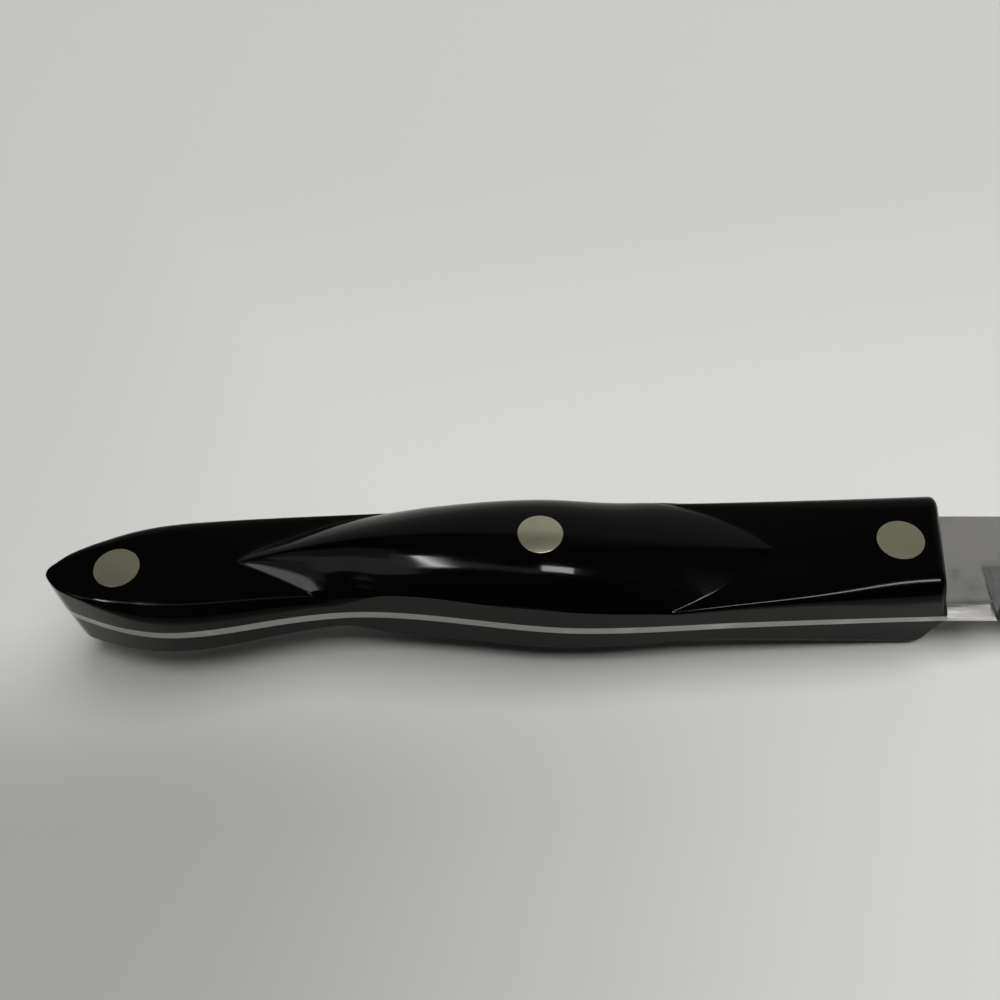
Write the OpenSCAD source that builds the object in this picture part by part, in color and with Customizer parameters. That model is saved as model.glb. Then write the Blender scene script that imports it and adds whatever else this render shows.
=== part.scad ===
// Serrated kitchen knife with a full tang, two moulded handle scales and three two-part rivets.
// It lies on its left side: +X runs to the tip, +Y to the spine and +Z out of the right scale.
// Inside the modules, x is 0 where the handle meets the blade, y is 0 at the heel of the edge,
// and z is 0 in the middle of the steel. The last step moves the origin under the middle.

/* [Handle] */
// Length of the handle, from the butt to the blade
handle_len = 128; // [118:1:138]
// Height of the tang where it leaves the handle
heel_h = 17.2; // [16.5:0.1:18.5]
// How far the belly at the butt drops below the heel
butt_drop = 3.4; // [2.5:0.1:4.5]
// How far the belly under the hump drops below the heel
belly_drop = 2.3; // [1.5:0.1:3]
// How far the waist between the bellies lies above the heel
waist_rise = 0.2; // [-0.5:0.1:0.8]
// Radius of the butt, seen from the side
butt_r = 3; // [2:0.1:4]

/* [Scales] */
// Height of the crown of the hump above the middle of the steel
crown_z = 9.9; // [9:0.1:11]
// Height of the front flat at the blade
front_z = 7.7; // [7:0.1:8]
// Fall of the front flat towards the hump, per millimetre
front_fall = 0.09; // [0.07:0.005:0.1]
// Height of the rear flat at the butt
rear_z = 7.4; // [7:0.1:8]
// Fall of the rear flat towards the hump, per millimetre
rear_fall = 0.08; // [0.06:0.005:0.09]
// Height of the upright wall under the hump
wall_z = 3.5; // [3:0.1:4]
// Length of the rounded front end
front_run = 2.9; // [2.5:0.1:3.2]
// How far the front end leans forward at the spine
front_lean = 2.4; // [1:0.1:3]

/* [Rivets] */
// Diameter of a rivet head
head_d = 6.4; // [6:0.1:6.6]
// Outer diameter of the sleeve half
sleeve_d = 4; // [3.5:0.1:4.5]
// Diameter of the pin half
pin_d = 2.8; // [2.4:0.1:3]
// Thickness of a head at its thinnest
head_t = 2; // [1.5:0.1:2.2]
// Play of the sleeve in the steel and in the scales
rivet_play = 0.1; // [0.05:0.01:0.2]

/* [Blade] */
// Length of the blade in front of the handle
blade_len = 125; // [100:1:150]
// Thickness of the tang in the handle
tang_t = 1.6; // [1.4:0.1:2]
// Thickness of the blade at the handle
blade_t = 1.2; // [1:0.1:1.4]
// Thickness of the spine at the tip
tip_t = 0.9; // [0.7:0.1:1]
// Length of the plain heel in front of the handle
heel_len = 7; // [5:0.5:12]
// Height of the ground bevel on the right side
bevel_h = 8.5; // [6:0.5:10]
// Thickness of the steel behind the edge
edge_t = 0.25; // [0.2:0.05:0.4]
// Distance from one scallop to the next
pitch = 5.5; // [5:0.5:9]
// Radius of the wheel that grinds a scallop
scallop_r = 6; // [5:0.5:7]
// Depth of a scallop at the edge
scallop_depth = 0.65; // [0.5:0.05:0.8]

/* [Hidden] */
$fn = 64;
steel = [0.72, 0.73, 0.74];
resin = [0.08, 0.065, 0.06];
nickel_silver = [0.78, 0.76, 0.69];

// Places along the handle are drawn for a length of 128 mm and stretched to the length asked for
drawn_len = 128;
stretch = handle_len / drawn_len;
butt = -handle_len;
rear_rivet = [-117.7 * stretch, 4];
middle_rivet = [-57 * stretch, 7.9];
front_rivet = [-6.4, heel_h / 2];
rear_nose = -101 * stretch;
rear_roof = -94 * stretch;
rear_low = -88.1 * stretch;
rear_high = -78.5 * stretch;
crown_x = -58 * stretch;
front_high = -42 * stretch;
front_low = -39.8 * stretch;
front_low_roof = -34 * stretch;
front_high_roof = -28 * stretch;
front_nose = -24 * stretch;
tang_half = tang_t / 2;
blade_half = blade_t / 2;
// How far cutting bodies reach: beyond the handle's depth, or just past a face
beyond = 40;
over = 1;

// Smooth curve through knots of [x, y, slope]
function knots(list) = [for (k = list) [k[0] * stretch, k[1], k[2] / stretch]];
function piece(p, q, x) =
    let (run = q[0] - p[0], t = (x - p[0]) / run, s = t * t * (3 - 2 * t))
    p[1] * (1 - s) + q[1] * s + run * t * (1 - t) * ((1 - t) * p[2] - t * q[2]);
function along(curve, x, i = 0) =
    i >= len(curve) - 2 || x <= curve[i + 1][0]
        ? piece(curve[i], curve[i + 1], x)
        : along(curve, x, i + 1);
function clamp01(t) = min(1, max(0, t));
// 1 at the end of a stretch, smoothly down to 0 a whole run away from it
function near(d, run) = let (t = clamp01(d / run)) 1 - t * t * (3 - 2 * t);

// Outline of the handle: the belly edge, the spine edge and the round butt that joins them
belly = knots([[-drawn_len, 1.2, -0.5], [-121.5, 2 - butt_drop, -0.34], [-110.5, -butt_drop, 0],
               [-96, -1.35, 0.19], [-82, waist_rise, 0], [-50.5, -belly_drop, 0],
               [-28, -1.2, 0.05], [0, 0, 0.035]]);
spine = knots([[-drawn_len, 4.5, 0.8], [-117.5, 10.9, 0.4], [-108, 13.1, 0.12],
               [-80, heel_h - 1.3, 0.1], [-52, heel_h, 0], [0, heel_h, 0]]);
function closing(x) =
    let (d = (x - butt) / butt_r)
    d >= 1 ? 1 : sqrt(1 - pow(1 - d, 2));
function mid_y(x) = (along(belly, x) + along(spine, x)) / 2;
function half_w(x) = (along(spine, x) - along(belly, x)) / 2 * closing(x);

// Half the thickness of the steel, which thins from the hump to just past the ends of the scales
end_gap = 0.6;
blade_from = front_lean + end_gap;
function steel_half(x) =
    tang_half + (blade_half - tang_half) * clamp01((x - front_low) / (blade_from - front_low));

// Height of the end flats, with the rounded front end and the eased butt
shoulder_run = 1.35;
shoulder_drop = 1.9;
front_land = 1.2;
rake = 3.4;
butt_ease = 2;
front_knots = [[-front_run, front_z - front_fall * front_run, front_fall],
               [-shoulder_run, front_z - shoulder_drop, -rake], [0, front_land, -rake]];
function rear_flat(x) = rear_z - rear_fall * (x - butt);
function front_plane(x) = front_z + front_fall * x;
function front_flat(x) = x > -front_run ? along(front_knots, x) : front_plane(x);
function flat_z(x) =
    let (d = clamp01((x - butt) / butt_ease))
    x < crown_x ? rear_flat(x) - butt_ease * (1 - sqrt(1 - pow(1 - d, 2))) : front_flat(x);

// Rounding between a flat and the wall: knots of [x, radius, slope]
rear_low_rim = knots([[-drawn_len, 0.5, 0], [-121.8, 1.05, 0.2], [-113.5, 2.65, 0.1], [-107, 2.85, 0],
                      [-95, 2.2, -0.09], [-84, 1.2, -0.08]]);
rear_high_rim = knots([[-drawn_len, 1, 0.1], [-119, 1.9, 0], [-100, 1.15, -0.04], [-78, 0.45, -0.02]]);
front_low_rim = knots([[-43, 0.8, 0.01], [-24, 1.15, 0.04], [-13, 2.2, 0.16], [-4, 4, 0.2], [0, 4.2, 0]]);
front_high_rim = knots([[-43, 0.48, 0.04], [-24, 1.33, 0.05], [0, 2.2, 0.02]]);
least_wall = 0.4;
function rim(x, side) =
    x < crown_x ? along(side < 0 ? rear_low_rim : rear_high_rim, x)
        : along(side < 0 ? front_low_rim : front_high_rim, x);
function round_h(x, side) = min(rim(x, side), flat_z(x) - steel_half(x) - least_wall);
function round_w(x, side) = min(rim(x, side), half_w(x) / 2);
function round_z(x, side, inset) =
    let (d = max(0, 1 - inset / round_w(x, side)))
    flat_z(x) - round_h(x, side) * (1 - sqrt(1 - d * d));

// Creases where the hump runs out on the flats: knots of [x, share of the half width, slope].
// Past a corner the hump is a little wider than the wall, and it settles to the wall at the crown.
rear_low_crease = knots([[-101, 0, 0.068], [-88.5, 0.97, 0.08], [-78, 1.22, 0]]);
rear_high_crease = knots([[-101, 0, 0.11], [-93, 0.49, 0.05], [-78.5, 1, 0]]);
front_low_crease = knots([[-47, 1.08, 0], [-39.8, 1, -0.04], [-30.5, 0.57, -0.065], [-24, 0, -0.1]]);
front_high_crease = knots([[-42, 1, 0], [-32, 0.67, -0.06], [-24, 0, -0.12]]);
function settled(peak, x) =
    1 + (peak[1] - 1) * pow(near(abs(x - peak[0]), abs(crown_x - peak[0])), 2);
function crease(x, side) =
    let (rear = side < 0 ? rear_low_crease : rear_high_crease,
         front = side < 0 ? front_low_crease : front_high_crease,
         rear_peak = rear[len(rear) - 1])
    x <= rear_nose || x >= front_nose ? 0
        : x < rear_peak[0] ? along(rear, x)
        : x > front[0][0] ? along(front, x)
        : settled(x < crown_x ? rear_peak : front[0], x);
// Both ends of the hump at the wall, on the belly side (-1) or the spine side (1)
function rear_end(side) = side < 0 ? rear_low : rear_high;
function front_end(side) = side < 0 ? front_low : front_high;

// Hump: its crown line, the height at which its flank ends, and the fullness of its section,
// which is an ellipse at the crown and a roof towards the noses. The crown line is a parabola to the
// rear nose; in front it bends down and then runs straight to the nose.
rear_curve = (crown_z - rear_flat(rear_nose)) / pow(rear_nose - crown_x, 2);
front_bend = 0.018;
front_drop = crown_z - front_plane(front_nose);
ramp_run = front_nose - crown_x;
ramp_from = ramp_run - sqrt(ramp_run * ramp_run - 2 * front_drop / front_bend);
foot_blend = 0.3;
ellipse_flank = 2;
roof_flank = 1.4;
ellipse_lift = 0.5;
roof_lift = 1;
least_rise = 0.5;
function crown(x) =
    let (d = abs(x - crown_x), bent = min(d, ramp_from))
    crown_z - (x < crown_x ? rear_curve * d * d : front_bend * bent * (d - bent / 2));
function foot(x) =
    let (above = (x < crown_x ? rear_flat(x) : front_plane(x)) - wall_z)
    wall_z + (above + sqrt(above * above + foot_blend * foot_blend)) / 2;
function roof_share(x, side) =
    let (roof = x < crown_x ? rear_roof : side < 0 ? front_low_roof : front_high_roof)
    1 - near(abs(x - crown_x), abs(roof - crown_x));
function hump_z(x, side, s) =
    let (flank = ellipse_flank + (roof_flank - ellipse_flank) * roof_share(x, side),
         lift = ellipse_lift + (roof_lift - ellipse_lift) * roof_share(x, side),
         low = foot(x), rise = crown(x) - low, left = 1 - pow(s, flank))
    low + (left > 0 ? max(rise, 0) * pow(left, lift) : max(rise, least_rise) * left);

// Height of the scale at u, from 0 in the middle to 1 at the wall
function top_z(x, side, u, edge) =
    edge <= 0 ? round_z(x, side, (1 - u) * half_w(x))
        : edge >= 1 ? hump_z(x, side, u / edge)
        : max(hump_z(x, side, u / edge), round_z(x, side, (1 - u) * half_w(x)));

// One half of a section, from the wall to the middle: the rounding, the flat and the hump
round_steps = 6;
flat_steps = 2;
hump_steps = 8;
hump_round = 3;
round_run = 6;
band = 0.3;
function hump_band(x, side) =
    let (from_corner = near(x - rear_end(side), round_run) + near(front_end(side) - x, round_run))
    hump_round + (band - hump_round) * from_corner;
function insets(x, side, edge) =
    let (w = half_w(x), gap = min(band, w / 8), bound = min(w - gap, max(2 * gap, (1 - edge) * w)),
         r = edge < 1 ? min(round_w(x, side), bound - gap) : hump_band(x, side), stop = max(bound, r + gap))
    concat([for (i = [0 : round_steps]) r * (1 - cos(90 * i / round_steps))],
           [for (i = [1 : flat_steps]) r + (stop - r) * i / flat_steps],
           [for (i = [1 : hump_steps]) stop + (w - stop) * i / hump_steps]);
function half_section(x, side) =
    let (w = half_w(x), edge = crease(x, side))
    [for (inset = insets(x, side, edge)) [side * (w - inset), top_z(x, side, 1 - inset / w, edge)]];
function reversed(list) = [for (i = [len(list) - 1 : -1 : 0]) list[i]];
// Towards the front end the sections lean forward, and the flat keeps its slope as it moves
lean_run = 12;
function lean(x, y) = front_lean * clamp01(1 + x / lean_run) * y / heel_h;
function leaned(x, y, z, slope) = [x + lean(x, y), y, z + slope * lean(x, y)];
function section(x) =
    let (low = half_section(x, -1), high = reversed(half_section(x, 1)), y = mid_y(x), w = half_w(x),
         top = concat(low, [for (i = [1 : len(high) - 1]) high[i]]))
    concat([leaned(x, y - w, steel_half(x), 0)],
           [for (p = top) leaned(x, y + p[0], p[1], front_fall)],
           [leaned(x, y + w, steel_half(x), 0)]);

// Stations along the handle, close together where the shape turns
function span(a, b, n) = [for (i = [1 : n]) a + (b - a) * i / n];
stations = concat([for (a = [10 : 20 : 70]) butt + butt_r * (1 - cos(a))],
                  [butt + butt_r], span(butt + butt_r, rear_nose, 10), span(rear_nose, rear_low, 13),
                  span(rear_low, rear_high, 6), span(rear_high, front_high, 18),
                  span(front_high, front_low, 2), span(front_low, front_nose, 12),
                  span(front_nose, -front_run, 8), span(-front_run, 0, 8));

// Closed skin through the sections
module scale_body() {
    rings = [for (x = stations) section(x)];
    n = len(rings[0]);
    last = len(rings) - 1;
    sides = [for (i = [0 : last - 1], j = [0 : n - 1], k = [0, 1])
        let (a = i * n + j, b = i * n + (j + 1) % n)
        k == 0 ? [a, b, a + n] : [b, b + n, a + n]];
    caps = [for (j = [1 : n - 2], k = [0, 1])
        k == 0 ? [0, j + 1, j] : [last * n, last * n + j, last * n + j + 1]];
    polyhedron(points = [for (ring = rings, p = ring) p], faces = concat(sides, caps));
}

// Rivet seats: the height on which each head bears, a head's thickness under its lowest rim
function seat(surface) = surface - head_t;
rear_seat = seat(rear_flat(rear_rivet[0] + head_d / 2));
crown_fall = 0.5;
middle_seat = seat(crown_z - crown_fall);
front_seat = seat(front_flat(front_rivet[0] - head_d / 2));

hole_d = sleeve_d + 2 * rivet_play;
module rivet_hole(at, bearing) {
    translate([at[0], at[1], -over]) cylinder(d = hole_d, h = bearing + 2 * over);
    translate([at[0], at[1], bearing]) cylinder(d = head_d, h = beyond);
}

module one_scale() {
    difference() {
        scale_body();
        rivet_hole(rear_rivet, rear_seat);
        rivet_hole(middle_rivet, middle_seat);
        rivet_hole(front_rivet, front_seat);
    }
}

// Head of a rivet before it is ground flush
module head(at, bearing) {
    translate([at[0], at[1], bearing]) cylinder(d = head_d, h = head_t + 2 * over);
}

// Everything above a flat that rises by fall per millimetre of x and is z high at x = 0
module above_flat(z, fall) {
    translate([0, 0, z]) rotate([0, -atan(fall), 0])
        translate([-2 * handle_len, -beyond, 0])
            cube([4 * handle_len, 2 * beyond, beyond]);
}

// The three heads, ground flush with the rear flat, the crown and the front flat
module rear_head() {
    difference() {
        head(rear_rivet, rear_seat);
        above_flat(rear_z + rear_fall * butt, -rear_fall);
    }
}

module middle_head() {
    hump_r = pow(half_w(middle_rivet[0]), 2) / (crown_z - wall_z);
    rear_top = crown(middle_rivet[0] - head_d / 2);
    front_top = crown(middle_rivet[0] + head_d / 2);
    intersection() {
        head(middle_rivet, middle_seat);
        translate([middle_rivet[0], mid_y(middle_rivet[0]), (rear_top + front_top) / 2 - hump_r])
            rotate([0, 90 + atan((rear_top - front_top) / head_d), 0])
                cylinder(r = hump_r, h = 2 * head_d, center = true);
    }
}

module front_head() {
    difference() {
        head(front_rivet, front_seat);
        above_flat(front_z, front_fall);
    }
}

// Solid half: its shank reaches down into the sleeve and stops short of its end
shank_gap = 0.6;
module pin_half(at, bearing) {
    color(nickel_silver) {
        children();
        translate([at[0], at[1], shank_gap - bearing]) cylinder(d = pin_d, h = 2 * bearing - shank_gap);
    }
}

// Tubular half: it stops short of the other head, so that the two can be pressed tight
module sleeve_half(at, bearing) {
    color(nickel_silver) {
        mirror([0, 0, 1]) children();
        difference() {
            translate([at[0], at[1], -bearing]) cylinder(d = sleeve_d, h = 2 * bearing - shank_gap);
            translate([at[0], at[1], -bearing]) cylinder(d = pin_d, h = 2 * bearing);
        }
    }
}

// Outline of the blade in front of the handle: straight spine and edge that meet at the tip
tip_y = 2;
drop_share = 0.55;
rise_share = 0.7;
drop_x = drop_share * blade_len;
rise_x = rise_share * blade_len;
spine_line = [[0, heel_h, 0], [drop_x, heel_h, 0], [blade_len, tip_y, -0.62]];
edge_line = [[0, 0, 0], [rise_x, 0, 0], [blade_len, tip_y, 0.12]];
outline_steps = 16;

module steel_outline() {
    spine_side = concat([for (x = stations) [x, mid_y(x) + half_w(x)]],
                        [for (x = span(drop_x, blade_len, outline_steps)) [x, along(spine_line, x)]]);
    edge_side = concat([for (x = stations) [x, mid_y(x) - half_w(x)]],
                       [for (x = span(rise_x, blade_len, outline_steps - 1)) [x, along(edge_line, x)]]);
    polygon(concat(edge_side, reversed(spine_side)));
}

// Thickness of the steel seen from the edge: the left face stays flat in front of the handle
module steel_thickness() {
    polygon([[butt - over, -tang_half], [front_low, -tang_half], [blade_from, -blade_half],
             [blade_len + over, -blade_half], [blade_len + over, tip_t - blade_half],
             [blade_from, blade_half], [front_low, tang_half], [butt - over, tang_half]]);
}

// Shape seen along the blade, cut between two places
module cut_along(from, to, shape) {
    translate([from, 0, 0]) rotate([90, 0, 90]) linear_extrude(to - from) polygon(shape);
}

bevel_fall = (blade_t - edge_t) / bevel_h;
bevel_depth = 4;
bevel_shape = [[bevel_h, blade_half], [-bevel_depth, blade_half - bevel_fall * (bevel_h + bevel_depth)],
               [-bevel_depth, bevel_depth], [bevel_h, bevel_depth]];
// The plain heel is ground round towards its edge, in two steps
heel_top = 2.6;
heel_line = 1;
heel_line_z = 0.25;
heel_slope = 0.32;
heel_shape = [[heel_top, blade_half], [heel_line, blade_half - heel_line_z],
              [-over, blade_half - heel_line_z - heel_slope * (heel_line + over)],
              [-over, bevel_depth], [heel_top, bevel_depth]];

// Scallop: a wheel lying across the bevel, lowest at the edge and running out above it
scallop_lean = 18;
scallop_reach = 12;
module scallop(x) {
    floor_z = edge_t - blade_half - scallop_depth;
    translate([x, along(edge_line, x), floor_z])
        rotate([scallop_lean - 90, 0, 0])
            translate([0, -scallop_r, -scallop_reach / 2])
                cylinder(r = scallop_r, h = scallop_reach);
}

// Scallops fill the edge up to a short plain tip
plain_tip = 2;
scallops = floor((blade_len - heel_len - plain_tip) / pitch);

module blade() {
    place() color(steel) difference() {
        intersection() {
            translate([0, 0, -beyond / 2]) linear_extrude(beyond) steel_outline();
            rotate([90, 0, 0]) translate([0, 0, -beyond])
                linear_extrude(2 * beyond) steel_thickness();
        }
        cut_along(heel_len, blade_len + over, bevel_shape);
        cut_along(0, heel_len, heel_shape);
        for (i = [0 : scallops - 1])
            scallop(heel_len + pitch * (i + 0.5));
        for (at = [rear_rivet, middle_rivet, front_rivet])
            translate([at[0], at[1], -tang_t]) cylinder(d = hole_d, h = 2 * tang_t);
    }
}

// The origin lies under the middle of the knife as it rests on its left scale
module place() {
    translate([(handle_len - blade_len) / 2, (butt_drop - heel_h) / 2, crown_z]) children();
}

module right_scale() {
    place() color(resin) one_scale();
}

module left_scale() {
    place() color(resin) mirror([0, 0, 1]) one_scale();
}

module rear_rivet_pin() {
    place() pin_half(rear_rivet, rear_seat) rear_head();
}

module rear_rivet_sleeve() {
    place() sleeve_half(rear_rivet, rear_seat) rear_head();
}

module middle_rivet_pin() {
    place() pin_half(middle_rivet, middle_seat) middle_head();
}

module middle_rivet_sleeve() {
    place() sleeve_half(middle_rivet, middle_seat) middle_head();
}

module front_rivet_pin() {
    place() pin_half(front_rivet, front_seat) front_head();
}

module front_rivet_sleeve() {
    place() sleeve_half(front_rivet, front_seat) front_head();
}

blade();
right_scale();
left_scale();
rear_rivet_pin();
rear_rivet_sleeve();
middle_rivet_pin();
middle_rivet_sleeve();
front_rivet_pin();
front_rivet_sleeve();
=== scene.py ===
# %% [markdown]
# # A serrated kitchen knife
# The knife lies on its left side on a pale table. It has one strip of steel that runs from the tip to
# the butt, two moulded handle scales beside it, and three rivets that hold the scales.
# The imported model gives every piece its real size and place. Here each piece is modelled again with
# finer curves, and gets its finish.

# %% Load the knife as a fixed frame
import math

import bmesh
import bpy
import numpy as np
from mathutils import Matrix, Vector


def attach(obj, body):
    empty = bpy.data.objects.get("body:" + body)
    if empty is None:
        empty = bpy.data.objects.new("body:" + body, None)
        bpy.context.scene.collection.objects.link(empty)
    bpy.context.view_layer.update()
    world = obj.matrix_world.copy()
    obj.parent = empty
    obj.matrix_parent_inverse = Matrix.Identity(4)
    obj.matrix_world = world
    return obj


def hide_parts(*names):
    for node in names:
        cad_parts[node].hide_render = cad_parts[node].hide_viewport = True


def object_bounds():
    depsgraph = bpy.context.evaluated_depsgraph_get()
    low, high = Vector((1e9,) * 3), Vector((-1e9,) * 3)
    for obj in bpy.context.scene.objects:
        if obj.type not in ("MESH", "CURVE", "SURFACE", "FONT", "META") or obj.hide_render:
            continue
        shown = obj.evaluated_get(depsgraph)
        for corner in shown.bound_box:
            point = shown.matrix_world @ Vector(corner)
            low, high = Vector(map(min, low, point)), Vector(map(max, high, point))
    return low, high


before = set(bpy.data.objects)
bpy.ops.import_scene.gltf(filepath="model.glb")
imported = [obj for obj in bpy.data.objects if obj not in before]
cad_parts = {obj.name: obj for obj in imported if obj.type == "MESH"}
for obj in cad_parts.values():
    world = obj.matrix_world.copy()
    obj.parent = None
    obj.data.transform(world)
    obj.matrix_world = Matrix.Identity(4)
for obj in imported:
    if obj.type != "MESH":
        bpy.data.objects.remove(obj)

cad_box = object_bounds()
print("CAD box in metres:", [tuple(round(v, 5) for v in corner) for corner in cad_box])

# %% [markdown]
# ## The knife's own measures
# A cutler measures from the heel, where the handle meets the blade. So the formulas below count in
# millimetres from there: x towards the tip, y towards the spine and z out of the right side, with z = 0
# in the middle of the steel. The frame's box says where that point lies in the scene.

# %% Place of the heel in the frame
MM = 0.001
handle_len = 128.0
blade_len = 125.0
heel_h = 17.2
box_low, box_high = (np.array(corner) / MM for corner in cad_box)
heel = np.array([box_high[0] - blade_len, box_high[1] - heel_h, (box_low[2] + box_high[2]) / 2])


def in_frame(points):
    """Points counted from the heel in millimetres, as places in the frame in metres."""
    return (np.asarray(points, float) + heel) * MM


print("heel at", np.round(heel, 3), "mm in the frame")

# %% [markdown]
# ## The camera
# The photograph was taken from close by, so the handle spreads a little towards its middle. The lens is
# as long as the sensor is wide, which gives an angle of view of 53 degrees. The place and the turn of the
# camera were found from the rivets, the tang and both ends of the handle.

# %% Camera at the photograph's viewing angle
sensor = 36.0
camera_at = (-56.34, -70.5, 126.3)
camera_turn = (35.85, 2.11, 1.48)
nearest = 0.01

bpy.ops.object.camera_add(location=in_frame(camera_at), rotation=[math.radians(a) for a in camera_turn])
camera = bpy.context.object
camera.data.sensor_width = sensor
camera.data.lens = sensor
camera.data.clip_start = nearest
bpy.context.scene.camera = camera
bpy.context.scene.view_settings.view_transform = "Standard"
print("camera at", [round(v, 4) for v in camera.location])

# %% [markdown]
# ## Curves through knots
# The outlines and creases of a moulded handle are long smooth curves. Each is written as a few knots, with
# a place, a height and a slope, and a cubic runs from one knot to the next. It is the same idea as a curve
# object's handles, but as a formula it can be asked for its height anywhere.

# %% Helpers for curves


def along(knots, x):
    """Height at x of the smooth curve through knots of (place, height, slope)."""
    places, heights, slopes = np.array(knots, float).T
    i = np.clip(np.searchsorted(places, x) - 1, 0, len(places) - 2)
    run = places[i + 1] - places[i]
    t = (x - places[i]) / run
    ease = t * t * (3 - 2 * t)
    bow = run * t * (1 - t) * ((1 - t) * slopes[i] - t * slopes[i + 1])
    return heights[i] * (1 - ease) + heights[i + 1] * ease + bow


def clamp(t):
    """The value, kept between 0 and 1."""
    return np.clip(t, 0.0, 1.0)


def near(distance, run):
    """1 at a place, smoothly down to 0 at a whole run from it."""
    t = clamp(distance / run)
    return 1 - t * t * (3 - 2 * t)


def span(start, end, count, crowding=1.0):
    """Places after start, up to and with end: even, or crowded at the start."""
    return start + (end - start) * (np.arange(1, count + 1) / count) ** crowding


# %% [markdown]
# ## Outline of the handle
# Seen from the side, the belly has a drop at the butt for the little finger, a waist and a swell under the
# hump, and the spine rises from the round butt to a straight line. The tang has the same outline, because
# the scales are ground flush with it after riveting.

# %% Outline of the handle
butt = -handle_len
butt_r = 3.0
crown_x = -58.0
belly_knots = [(-128, 1.2, -0.5), (-121.5, -1.4, -0.34), (-110.5, -3.4, 0), (-96, -1.35, 0.19),
               (-82, 0.2, 0), (-50.5, -2.3, 0), (-28, -1.2, 0.05), (0, 0, 0.035)]
spine_knots = [(-128, 4.5, 0.8), (-117.5, 10.9, 0.4), (-108, 13.1, 0.12), (-80, heel_h - 1.3, 0.1),
               (-52, heel_h, 0), (0, heel_h, 0)]


def closing(x):
    """How far the round butt has opened at x, from 0 at its end to 1."""
    return np.sqrt(1 - (1 - clamp((x - butt) / butt_r)) ** 2)


def middle(x):
    """Middle of the handle's height at x."""
    return (along(belly_knots, x) + along(spine_knots, x)) / 2


def half_width(x):
    """Half of the handle's height at x."""
    return (along(spine_knots, x) - along(belly_knots, x)) / 2 * closing(x)


print("handle is", round(float(2 * half_width(crown_x)), 2), "mm high at the crown")

# %% [markdown]
# ## Surface of a scale
# A scale has a flat at each end and a hump between them. The hump runs out on each flat in a pointed nose,
# with a crease on both sides, and that is what makes this handle hard to draw. It could be sculpted, but
# then every later change would mean sculpting it again. So the surface is a formula for the height over
# the steel: first the flats with their rounded rims, then the creases, then the hump.

# %% Thickness of the steel under the scales
tang_half = 0.8
blade_half = 0.6
front_lean = 2.4
past_scales = 0.6
blade_from = front_lean + past_scales
front_low = -39.8


def steel_half(x):
    """Half of the steel's thickness, which thins from the hump to just past the scales."""
    return tang_half + (blade_half - tang_half) * clamp((x - front_low) / (blade_from - front_low))


print("steel is", 2 * tang_half, "mm thick in the handle and", 2 * blade_half, "mm in front of it")

# %% Flats
front_z, front_fall = 7.7, 0.09
rear_z, rear_fall = 7.4, 0.08
front_run, front_rake = 2.9, 3.4
front_knots = [(-front_run, front_z - front_fall * front_run, front_fall),
               (-1.35, front_z - 1.9, -front_rake), (0, 1.2, -front_rake)]
butt_ease = 0.7


def rear_flat(x):
    """Height of the rear flat."""
    return rear_z - rear_fall * (x - butt)


def front_plane(x):
    """Height of the front flat."""
    return front_z + front_fall * x


def flat_height(x):
    """Height of the flats, eased at the butt and rounded down at the front end."""
    eased = butt_ease * (1 - np.sqrt(1 - (1 - clamp((x - butt) / butt_ease)) ** 2))
    front = np.where(x > -front_run, along(front_knots, x), front_plane(x))
    return np.where(x < crown_x, rear_flat(x) - eased, front)


print("flats rise to", round(float(rear_flat(butt)), 2), "and", front_z, "mm over the middle of the steel")

# %% Rounded rims of the flats
least_wall = 0.4
rear_rim = {-1: [(-128, 0.3, 0), (-121.8, 0.6, 0.15), (-113.5, 2.65, 0.12), (-107, 2.85, 0),
                 (-95, 2.2, -0.09), (-84, 1.2, -0.08)],
            1: [(-128, 1, 0.1), (-119, 1.9, 0), (-100, 1.15, -0.04), (-74, 0.4, -0.02)]}
front_rim = {-1: [(-43, 0.3, 0.02), (-24, 1.0, 0.05), (-13, 2.2, 0.16), (-7, 3.0, 0.06), (0, 2.8, -0.08)],
             1: [(-43, 0.48, 0.05), (-24, 1.8, 0.06), (0, 3.1, 0.04)]}


def rim_radius(x, side):
    """Radius of the rounding between a flat and the wall, on the belly side (-1) or spine side (1)."""
    return np.where(x < crown_x, along(rear_rim[side], x), along(front_rim[side], x))


def rim_width(x, side):
    """Width of the rounding, which is less at the narrow butt."""
    return np.minimum(rim_radius(x, side), half_width(x) / 2)


def rim_drop(x, side, inset):
    """How far the rounding lies below the flat, at an inset from the wall."""
    drop = np.minimum(rim_radius(x, side), flat_height(x) - steel_half(x) - least_wall)
    d = clamp(1 - inset / rim_width(x, side))
    return drop * (1 - np.sqrt(1 - d * d))


widest = max(knot[1] for knots in front_rim.values() for knot in knots)
print("rims have a radius of up to", widest, "mm")

# %% Creases
rear_nose, front_nose = -101.0, -24.0
rear_end = {-1: -85.8, 1: -74.0}
front_end = {-1: front_low, 1: -42.0}
rear_crease = {-1: [(rear_nose, 0, 0.06), (-91, 0.7, 0.078), (-87.2, 0.95, 0.05), (-85.8, 1, 0.03),
                    (-78, 1.22, 0)],
               1: [(rear_nose, 0, 0.11), (-93, 0.49, 0.055), (-83.9, 0.865, 0.025), (-74, 1, 0.005)]}
front_crease = {-1: [(-47, 1.08, 0), (front_low, 1, -0.04), (-30.5, 0.57, -0.065), (front_nose, 0, -0.1)],
                1: [(-42, 1, 0), (-32, 0.67, -0.06), (front_nose, 0, -0.12)]}
crown_share = {-1: 1.05, 1: 1.0}


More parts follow.
